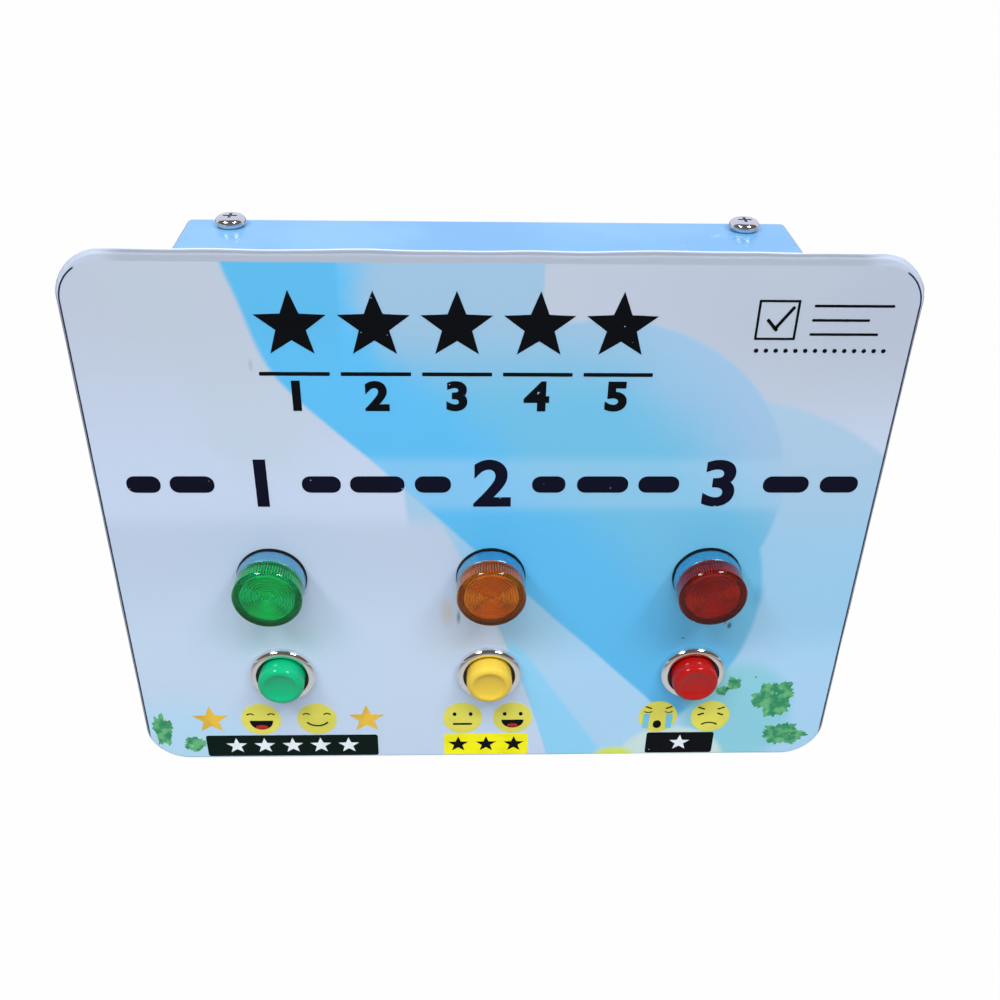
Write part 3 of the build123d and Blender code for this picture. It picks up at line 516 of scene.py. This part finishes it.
def film_shell():
    """Film over the front, round the edges and a little way behind, as one closed skin."""
    width, height = PANEL_SIZE
    core_x, core_z = width / 2 - PANEL_CORNER, height / 2 - PANEL_CORNER
    bm = bmesh.new()
    bm.faces.new([bm.verts.new((sx * width / 2, PANEL_Y, sz * height / 2))
                  for sx, sz in ((-1, -1), (1, -1), (1, 1), (-1, 1))])
    bmesh.ops.bevel(bm, geom=bm.verts[:], offset=PANEL_CORNER, segments=16, profile=0.5,
                    affect="VERTICES", material=-1)
    long_edges = [edge for edge in bm.edges if edge.calc_length() > PANEL_CORNER]
    bmesh.ops.subdivide_edges(bm, edges=long_edges, cuts=60)
    made = bmesh.ops.extrude_edge_only(bm, edges=bm.edges[:])["geom"]
    sides = [item for item in made if isinstance(item, bmesh.types.BMVert)]
    bmesh.ops.translate(bm, verts=sides, vec=(0, PANEL_DEPTH, 0))
    rear = [edge for edge in bm.edges if all(vert in sides for vert in edge.verts)]
    made = bmesh.ops.extrude_edge_only(bm, edges=rear)["geom"]
    for vert in (item for item in made if isinstance(item, bmesh.types.BMVert)):
        x, y, z = vert.co
        anchor = Vector((max(-core_x, min(core_x, x)), y, max(-core_z, min(core_z, z))))
        vert.co = anchor + (vert.co - anchor) * (PANEL_CORNER - FILM_RETURN) / PANEL_CORNER
    bm.normal_update()
    rim = [edge for edge in bm.edges if len(edge.link_faces) == 2
           and all(abs(vert.co.y - PANEL_Y) < 0.01 for vert in edge.verts)]
    bmesh.ops.bevel(bm, geom=rim, offset=EDGE_ROUND, segments=5, profile=0.5, affect="EDGES", material=-1)
    front = max(bm.faces, key=lambda face: face.calc_area())
    for _ in range(2):
        bmesh.ops.inset_region(bm, faces=[front], thickness=0.5, depth=0.0)
    bmesh.ops.recalc_face_normals(bm, faces=bm.faces)
    if max(bm.faces, key=lambda face: face.calc_area()).normal.y > 0:
        bmesh.ops.reverse_faces(bm, faces=bm.faces)
    return bm


def film_waves(bm):
    """Let the wrapped edge wander a little, with folds at the two upper corners."""
    width, height = PANEL_SIZE
    margin, fade, corner_inset, ripple = 2.2, 2.0, 5, 0.045
    for vert in bm.verts:
        outside = max(abs(vert.co.x) - (width / 2 - margin), abs(vert.co.z) - (height / 2 - margin))
        share = max(0.0, min(1.0, outside / fade))
        wave = noise.noise(Vector((vert.co.x * ripple, 3.0, vert.co.z * ripple)))
        away = Vector((vert.co.x / width, 0, vert.co.z / height)).normalized()
        top = max(0.0, min(1.0, (vert.co.z - 60) / 50))
        vert.co += away * (0.15 + wave * 0.5) * share * (0.4 + 0.6 * top)
        for corner_x, reach, bulge in ((1, 26.0, 0.9), (-1, 18.0, 0.4)):
            corner = Vector((corner_x * (width / 2 - corner_inset), PANEL_Y, height / 2 - corner_inset))
            near = max(0.0, 1 - (vert.co - corner).length / reach)
            fold = 0.6 + 0.4 * math.sin(vert.co.x * 0.9 + vert.co.z * 1.3)
            vert.co += Vector((corner_x * 0.35, -0.3 * share, 0.6)) * near * share * fold * bulge


def film():
    """Printed film, holed for the lamps and buttons."""
    bm = film_shell()
    film_waves(bm)
    bmesh.ops.solidify(bm, geom=bm.faces[:], thickness=FILM)
    shown = piece("film_skin", bm, film_finish, sharp=30)
    drills = joined([at_panel(turned([(0, -4), (PANEL_HOLE, -4), (PANEL_HOLE, 9), (0, 9)]), x, z)
                     for x in COLUMNS.values() for z in (LAMP_Z, BUTTON_Z)])
    bmesh.ops.scale(drills, vec=(MM, MM, MM), verts=drills.verts)
    mesh = bpy.data.meshes.new("drills")
    drills.to_mesh(mesh)
    drills.free()
    cutter = bpy.data.objects.new("drills", mesh)
    bpy.context.scene.collection.objects.link(cutter)
    cut = shown.modifiers.new("holes", "BOOLEAN")
    cut.object = cutter
    cut.operation = "DIFFERENCE"
    cut.solver = "EXACT"
    drilled = shown.evaluated_get(bpy.context.evaluated_depsgraph_get())
    shown.data = bpy.data.meshes.new_from_object(drilled)
    shown.modifiers.clear()
    bpy.data.objects.remove(cutter)
    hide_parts("printed_film")


# ---- flat print shapes, thin plates that lie on the film ----

PRINT_LIFT = 0.02
PRINT_THICKNESS = 0.05


def printed(bm, layer=0):
    """Thicken flat faces drawn in X and Z at y = 0 and lay them on the film."""
    bmesh.ops.recalc_face_normals(bm, faces=bm.faces)
    made = bmesh.ops.extrude_face_region(bm, geom=bm.faces[:])["geom"]
    raised = [item for item in made if isinstance(item, bmesh.types.BMVert)]
    bmesh.ops.translate(bm, verts=raised, vec=(0, -PRINT_THICKNESS, 0))
    bmesh.ops.recalc_face_normals(bm, faces=bm.faces)
    return moved(bm, 0, PANEL_Y - PRINT_LIFT - layer * PRINT_THICKNESS, 0)


def swung(bm, degrees, axis="Z"):
    """Turn a mesh about an axis through the origin."""
    turn = Matrix.Rotation(math.radians(degrees), 3, axis)
    bmesh.ops.rotate(bm, cent=(0, 0, 0), matrix=turn, verts=bm.verts)
    return bm


def upright(bm, x, z):
    """Stand a shape drawn in X and Y up in X and Z, at a place."""
    return moved(swung(bm, 90, "X"), x, 0, z)


def oval(x, z, wide, tall, segments=40):
    """Flat ellipse."""
    bm = bmesh.new()
    bmesh.ops.create_circle(bm, cap_ends=True, radius=1, segments=segments)
    bmesh.ops.scale(bm, vec=(wide / 2, tall / 2, 1), verts=bm.verts)
    return upright(bm, x, z)


def star(x, z, size):
    """Flat star with five points, one of them on top."""
    points, waist = 5, 0.42
    bm = bmesh.new()
    bmesh.ops.create_circle(bm, cap_ends=True, radius=size / 2, segments=2 * points)
    for index, vert in enumerate(sorted(bm.verts, key=lambda v: math.atan2(v.co.y, v.co.x))):
        if index % 2:
            vert.co *= waist
    tip = max(bm.verts, key=lambda v: v.co.length)
    return upright(swung(bm, 90 - math.degrees(math.atan2(tip.co.y, tip.co.x))), x, z)


def bar(x, z, wide, tall, corner, turn=0.0):
    """Flat bar with round corners."""
    bm = bmesh.new()
    bmesh.ops.create_grid(bm, x_segments=1, y_segments=1, size=0.5)
    bmesh.ops.scale(bm, vec=(wide, tall, 1), verts=bm.verts)
    bmesh.ops.bevel(bm, geom=bm.verts[:], offset=corner, segments=6, profile=0.5,
                    affect="VERTICES", material=-1)
    return upright(swung(bm, turn), x, z)


def band(x, z, radius, thick, start, end, flatten=1.0):
    """Part of a ring, from one angle to another."""
    bm = bmesh.new()
    inner = bm.verts.new((radius - thick / 2, 0, 0))
    outer = bm.verts.new((radius + thick / 2, 0, 0))
    edge = bm.edges.new((inner, outer))
    bmesh.ops.spin(bm, geom=[inner, outer, edge], cent=(0, 0, 0), axis=(0, 0, 1),
                   angle=math.radians(end - start), steps=24)
    swung(bm, start)
    bmesh.ops.scale(bm, vec=(1, flatten, 1), verts=bm.verts)
    return upright(bm, x, z)


def half_round(x, z, wide, tall):
    """Open mouth: an ellipse cut off along its top."""
    bm = bmesh.new()
    bmesh.ops.create_circle(bm, cap_ends=True, radius=1, segments=40)
    bmesh.ops.bisect_plane(bm, geom=bm.verts[:] + bm.edges[:] + bm.faces[:], plane_co=(0, 0, 0),
                           plane_no=(0, 1, 0), clear_outer=True)
    bmesh.ops.scale(bm, vec=(wide / 2, tall, 1), verts=bm.verts)
    return upright(bm, x, z)


def numeral(text, x, z, height, weight):
    """Flat numeral from the built-in font, made bolder by weight in millimetres."""
    digit_share = 0.72
    curve = bpy.data.curves.new("numeral", "FONT")
    curve.body = text
    curve.size = height / digit_share
    curve.offset = weight
    curve.align_x = "CENTER"
    curve.fill_mode = "FRONT"
    letter = bpy.data.objects.new("numeral", curve)
    bpy.context.scene.collection.objects.link(letter)
    mesh = bpy.data.meshes.new_from_object(letter.evaluated_get(bpy.context.evaluated_depsgraph_get()))
    bm = bmesh.new()
    bm.from_mesh(mesh)
    bpy.data.objects.remove(letter)
    bpy.data.curves.remove(curve)
    bpy.data.meshes.remove(mesh)
    bmesh.ops.remove_doubles(bm, verts=bm.verts, dist=0.001)
    low = min(vert.co.y for vert in bm.verts)
    high = max(vert.co.y for vert in bm.verts)
    moved(bm, 0, -(low + high) / 2, 0)
    bmesh.ops.scale(bm, vec=(1, height / (high - low), 1), verts=bm.verts)
    return upright(bm, x, z)


def leafage(x, z, wide, tall, seed):
    """Ragged clump of leaves."""
    bm = bmesh.new()
    bmesh.ops.create_circle(bm, cap_ends=True, radius=1, segments=120)
    for vert in bm.verts:
        angle = math.atan2(vert.co.y, vert.co.x)
        big = noise.noise(Vector((math.cos(angle) * 1.6, math.sin(angle) * 1.6, seed)))
        fine = noise.noise(Vector((math.cos(angle) * 7, math.sin(angle) * 7, seed + 9)))
        vert.co *= 0.82 + 0.38 * big + 0.22 * fine
    bmesh.ops.scale(bm, vec=(wide / 2, tall / 2, 1), verts=bm.verts)
    return upright(bm, x, z)


def heading():
    """Five stars with the numbers one to five on a line below them."""
    centres = [-72.5 + 29.5 * step for step in range(5)]
    stars = joined([printed(star(x, 93.5, 27)) for x in centres])
    piece("heading_stars", stars, BLACK_INK)
    scale = [printed(numeral(str(step + 1), x, 65.5, 12.5, 0.75)) for step, x in enumerate(centres)]
    scale += [printed(bar(x, 74.5, 25.5, 1.5, 0.3)) for x in centres]
    piece("scale_numerals", joined(scale), BLACK_INK)


def column_row():
    """A large number over each column, joined by bold dashes."""
    row = []
    for number, x in zip("123", COLUMNS.values()):
        row.append(printed(numeral(number, x, 27.5, 21.5, 0.9)))
    for x, wide in ((-134, 13), (-115.5, 17), (-66, 15), (-44.5, 21), (-23, 14),
                    (22, 13), (43, 20), (65, 16), (115, 18), (136, 15)):
        row.append(printed(bar(x, 27.0, wide, 7.5, 3.4)))
    piece("column_numerals", joined(row), NAVY_INK)


def answer_card():
    """Small line drawing of a ticked list."""
    lines = [printed(bar(x, 96.5, 0.9, 15, 0.3)) for x in (94, 108)]
    lines += [printed(bar(101, z, 14.9, 0.9, 0.3)) for z in (89.2, 103.8)]
    lines += [printed(bar(x, z, long, 1.2, 0.4, turn), 1)
              for x, z, long, turn in ((99.4, 94.6, 6, -48), (103.4, 97.2, 11, 55))]
    lines += [printed(bar(x, z, wide, 1.0, 0.4))
              for x, z, wide in ((128, 102, 29), (124, 96.5, 21), (126, 91, 25))]
    lines += [printed(oval(95 + 3.6 * step, 84.5, 1.7, 1.7, segments=16)) for step in range(14)]
    piece("answer_card", joined(lines), BLACK_INK)


def faces():
    """Six round faces, two to a column, from very happy on the left to very sad on the right."""
    z = -96.6
    places = (-101.1, -76.3, -11.5, 10.9, 76.4, 100.1)
    discs = joined([printed(oval(x, z, 17.4, 18.6)) for x in places])
    piece("face_discs", discs, FACE_INK)
    very_happy, happy, plain, bright, crying, sad = places
    dark = []
    for x in (very_happy, happy):
        dark += [printed(band(x + side, z + 2.2, 1.5, 0.8, 20, 160, 0.8), 1) for side in (-4.6, 4.6)]
    dark += [printed(half_round(very_happy, z - 0.8, 10.4, 5.4), 1)]
    dark += [printed(band(happy, z + 1.0, 5.6, 0.9, 215, 325, 0.9), 1)]
    for x in (plain, bright):
        dark += [printed(oval(x + side, z + 2.4, 1.7, 2.2, segments=20), 1) for side in (-3.6, 3.6)]
    dark += [printed(bar(plain, z - 3.6, 8.6, 1.1, 0.4), 1)]
    dark += [printed(half_round(bright, z - 1.2, 10.0, 4.8), 1)]
    dark += [printed(band(crying + side, z + 3.6, 1.7, 0.8, 200, 340, 0.6), 1) for side in (-4.6, 4.6)]
    dark += [printed(bar(crying + side, z + 5.6, 3.2, 0.8, 0.3, side * 5), 1) for side in (-4.6, 4.6)]
    dark += [printed(oval(crying, z - 4.6, 3.8, 4.8, segments=24), 1)]
    dark += [printed(bar(sad + side, z + 5.0, 3.4, 0.8, 0.3, side * 5), 1) for side in (-4.4, 4.4)]
    dark += [printed(bar(sad + side, z + 1.4, 3.0, 0.9, 0.3, -side * 5), 1) for side in (-4.4, 4.4)]
    dark += [printed(band(sad, z - 7.4, 4.6, 0.9, 40, 140, 0.8), 1)]
    piece("face_lines", joined(dark), BLACK_INK)
    tears = [printed(bar(crying + side, z - 2.6, 2.8, 9.0, 0.6), 1) for side in (-5.2, 5.2)]
    piece("face_tears", joined(tears), TEAR_INK)
    tongue = [printed(oval(very_happy, z - 4.6, 5.6, 2.4, segments=24), 2)]
    tongue += [printed(oval(bright, z - 4.4, 4.8, 2.0, segments=24), 2)]
    piece("face_tongues", joined(tongue), TONGUE_INK)


def plates():
    """Bars under the faces, with one star for each point of the answer."""
    z, tall = -112.8, 12.8
    for name, x, wide, ink, star_ink, count in (
        ("green", -88.3, 77.0, PLATE_GREEN, WHITE_INK, 5),
        ("yellow", -0.9, 38.0, PLATE_YELLOW, BLACK_INK, 3),
        ("black", 87.7, 30.8, BLACK_INK, WHITE_INK, 1),
    ):
        piece(f"{name}_plate", printed(bar(x, z, wide, tall, 1.2)), ink)
        pitch = min(12.6, wide / count)
        centres = [x + (step - (count - 1) / 2) * pitch for step in range(count)]
        marks = [printed(star(centre, z, 9.6), 1) for centre in centres]
        piece(f"{name}_plate_stars", joined(marks), star_ink)


def corner_prints():
    """Gold stars beside the happy faces, and leaves in the lower corners."""
    gold = [printed(star(x, -96.8, 16.5)) for x in (-123.4, -54.3)]
    piece("gold_stars", joined(gold), GOLD_INK)
    leaves = [printed(leafage(*clump)) for clump in (
        (127.0, -86.0, 23, 24, 1.3), (134.0, -108.0, 22, 17, 4.1), (108.5, -77.0, 8, 9, 7.7),
        (103.5, -81.0, 7, 6, 3.2), (-145.0, -101.5, 9, 20, 2.6), (-132.0, -111.5, 12, 10, 5.2),
    )]
    piece("leaf_clumps", joined(leaves), LEAF_INK)


# ---- lamps ----

def lens(colour, x):
    """Cup lens: smooth outside, crowned front edge, fluted bore, and fine prism rings inside the front."""
    front, base, neck = -15.6, -7.9, -3.9
    facet, steps, flute_every, flute_growth = 0.27, 216, 3, 1.045
    floor = front + 2.1
    edge = [(13.2, front)]
    for tilt in (45.0, 48.5, 52.0, 55.5):
        lean = math.radians(tilt)
        edge.append((edge[-1][0] + facet * math.cos(lean), edge[-1][1] + facet * math.sin(lean)))
    wall = [(edge[-1][0], base), (12.2, base), (12.2, neck), (11.0, neck), (11.0, base),
            (11.6, base + 0.1), (11.6, front + 2.6), (11.4, floor)]
    rings = [(radius - 1.15 * step, y) for step in range(9)
             for radius, y in ((10.9, floor), (10.6, front + 1.65), (10.3, floor))]
    middle = [(0.6, floor), (0, front + 1.5)]
    bm = turned([(0, front)] + edge + wall + rings + middle, steps=steps)
    for vert in bm.verts:
        turn = round(math.atan2(vert.co.z, vert.co.x) * steps / 2 / math.pi)
        if 11.3 < math.hypot(vert.co.x, vert.co.z) < 11.7 and turn % flute_every == 0:
            vert.co.x *= flute_growth
            vert.co.z *= flute_growth
    shown = piece(f"{colour}_lens", at_panel(bm, x, LAMP_Z), LENS[colour], sharp=28)
    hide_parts(f"{colour}_lamp_lens")


def lamp_discs():
    """White cups behind the lens fronts, with fine rings that scatter the light."""
    discs = []
    for x in COLUMNS.values():
        rings = [(radius - 1.2 * step, y) for step in range(8) for radius, y in ((9.9, -13.3), (9.3, -13.0))]
        bm = turned([(0, -12.4), (10.3, -12.4), (10.3, -6.0), (10.7, -6.0), (10.7, -13.3)] + rings
                    + [(0, -13.2)])
        discs.append(at_panel(bm, x, LAMP_Z))
    shown = piece("lamp_discs", joined(discs), white_plastic, sharp=25)
    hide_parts("lamp_diffusers")


def lens_seats():
    """Pale gaskets between the lenses and their collars."""
    seats = [at_panel(turned([(12.4, -7.86), (13.75, -7.86), (13.75, -7.8), (12.4, -7.8)]), x, LAMP_Z)
             for x in COLUMNS.values()]
    piece("lens_seats", joined(seats), pale_plastic)


def collar(colour, x):
    """Satin metal collar behind the lens, with softened edges; its light blue is a painted reflection of the
    blue panel.
    """
    bm = turned([(12.4, -7.8), (13.9, -7.8), (13.9, -1.3), (12.4, -1.3)], {1: 0.25, 2: 0.2}, steps=128)
    shown = piece(f"{colour}_collar", at_panel(bm, x, LAMP_Z), painted_reflection_collar)
    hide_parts(f"{colour}_lamp_bezel")


# ---- buttons ----

def button_ring(colour, x):
    """Plated ring with a rolled outer edge and a flat inner rim."""
    bm = turned([(13.3, 0), (14.2, 0), (14.2, -3.0), (11.2, -3.0), (11.0, -1.3), (13.3, -1.3)],
                {2: 2.0, 3: 0.2}, steps=128, segments=10)
    shown = piece(f"{colour}_ring", at_panel(bm, x, BUTTON_Z), chrome)
    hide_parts(f"{colour}_button_ring")


def button_cap(colour, x):
    """Cap with a full shoulder round a dished front."""
    bm = turned([(0, -8.35), (2.4, -8.42), (4.6, -8.66), (6.0, -9.0), (7.1, -9.6), (9.8, -9.6), (9.8, 5.0),
                 (8.4, 5.0), (8.4, -7.0), (6.9, -7.0), (6.9, 5.0), (4.05, 5.0), (4.05, -3.0), (0, -3.0)],
                {3: 0.8, 4: 0.5, 5: 2.6}, steps=128, segments=10)
    shown = piece(f"{colour}_cap", at_panel(bm, x, BUTTON_Z), CAP[colour], body=f"{colour}_button")
    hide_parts(f"{colour}_button_cap")


def return_spring(colour, x):
    """Coil from the barrel's floor to the cap's skirt, built at its resting length."""
    turns, radius, wire, rear, front = 4, 5.85, 0.45, 13.5, 5.5
    steps = 40 * turns
    bm = bmesh.new()
    bmesh.ops.create_circle(bm, cap_ends=False, radius=wire, segments=10)
    moved(bm, radius, rear, 0)
    bmesh.ops.spin(bm, geom=bm.verts[:] + bm.edges[:], cent=(0, 0, 0), axis=(0, 1, 0),
                   dvec=(0, (front - rear) / steps, 0), angle=2 * math.pi * turns, steps=steps)
    bmesh.ops.holes_fill(bm, edges=[edge for edge in bm.edges if edge.is_boundary], sides=0)
    bmesh.ops.recalc_face_normals(bm, faces=bm.faces)
    shown = piece(f"{colour}_spring", at_panel(bm, x, BUTTON_Z), spring_steel)
    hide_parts(f"{colour}_button_spring")
    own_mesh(shown)


# ---- camera, light and stage ----

def main_camera():
    """Camera above the middle of the panel, looking down on it."""
    target = Vector((3.137, PANEL_Y, 19.825)) * MM
    distance = 439.55 * MM
    azimuth, elevation, roll = (math.radians(angle) for angle in (-2.3376, 33.0265, 1.2473))
    back = Vector((math.sin(azimuth) * math.cos(elevation), -math.cos(azimuth) * math.cos(elevation),
                   math.sin(elevation)))
    level = Vector((0, 0, 1)).cross(back).normalized()
    rise = back.cross(level)
    across = math.cos(roll) * level + math.sin(roll) * rise
    up = -math.sin(roll) * level + math.cos(roll) * rise
    lens_data = bpy.data.cameras.new("camera")
    lens_data.lens = 40.39
    lens_data.sensor_width = 36.0
    lens_data.clip_start = 0.01
    camera = bpy.data.objects.new("camera", lens_data)
    camera.matrix_world = (Matrix.Translation(target + back * distance)
                           @ Matrix((across, up, back)).transposed().to_4x4())
    bpy.context.scene.collection.objects.link(camera)
    bpy.context.scene.camera = camera


def softbox(name, place, width, height, power, mirrored=True):
    """Soft lamp aimed at the panel; shiny parts mirror it or not."""
    light = bpy.data.lights.new(name, "AREA")
    light.shape = "RECTANGLE"
    light.size = width
    light.size_y = height
    light.energy = power
    lamp = bpy.data.objects.new(name, light)
    lamp.location = place
    aim = Vector((0, -0.1, 0)) - Vector(place)
    lamp.rotation_euler = aim.to_track_quat("-Z", "Y").to_euler()
    lamp.visible_glossy = mirrored
    bpy.context.scene.collection.objects.link(lamp)


def surroundings():
    """White all round; where shiny parts mirror it, darker in front and above."""
    world = bpy.data.worlds.new("studio")
    bpy.context.scene.world = world
    world.use_nodes = True
    sky = Nodes(world.node_tree)
    _, y, z = sky.axes(sky.places["Generated"])
    room = sky.over((0.70, 0.71, 0.74, 1), (0.16, 0.10, 0.055, 1), sky.soft(z, 0.02, 0.10))
    room = sky.over(room, (0.10, 0.11, 0.11, 1), sky.soft(z, 0.56, 0.66))
    room = sky.over(room, (0.74, 0.76, 0.90, 1), sky.soft(y, 0.05, 0.30))
    mirrored = sky.ray("Glossy")
    background = sky.tree.nodes["Background"]
    sky.plug(background.inputs["Color"], sky.over((1, 1, 1, 1), room, mirrored))
    strength = sky.level(sky.seen(), 0.38, 1.0)
    sky.plug(background.inputs["Strength"], sky.calc("MAXIMUM", strength, mirrored))


def lamps():
    """Two soft lamps that shiny parts mirror, and two that only light."""
    softbox("left_lamp", (-0.86, -0.86, 1.34), 0.52, 0.30, 12.5)
    softbox("right_lamp", (0.80, -0.86, 1.34), 0.52, 0.30, 12.5)
    softbox("overhead_lamp", (0.0, -0.90, 1.7), 0.9, 0.5, 19, mirrored=False)
    softbox("front_fill", (0.0, -1.9, 0.3), 1.2, 1.2, 3.3, mirrored=False)


def white_floor():
    """Floor far below, which looks white but lights the part at a plain level."""
    level, half_size, glow_share = -0.75, 14.0, 0.985
    bm = bmesh.new()
    bmesh.ops.create_grid(bm, x_segments=1, y_segments=1, size=half_size)
    moved(bm, 0, 0, level)
    mesh = bpy.data.meshes.new("floor")
    bm.to_mesh(mesh)
    bm.free()
    floor = bpy.data.objects.new("floor", mesh)
    bpy.context.scene.collection.objects.link(floor)
    recipe = Recipe("floor_white")
    recipe.base(recipe.over((0.51, 0.51, 0.51, 1), (0.55, 0.55, 0.55, 1), recipe.cloud(3.0)))
    recipe.rough(0.8)
    glow = recipe.tree.nodes.new("ShaderNodeEmission")
    recipe.swap_shader(recipe.calc("MULTIPLY", recipe.seen(), glow_share), glow)
    mesh.materials.append(recipe.material)


main_camera()
surroundings()
lamps()
white_floor()
dress_nodes()
film()
heading()
column_row()
answer_card()
faces()
plates()
corner_prints()
lamp_discs()
lens_seats()
for column, column_x in COLUMNS.items():
    lens(column, column_x)
    collar(column, column_x)
    button_ring(column, column_x)
    button_cap(column, column_x)
    return_spring(column, column_x)

bpy.context.scene.view_settings.view_transform = "Standard"
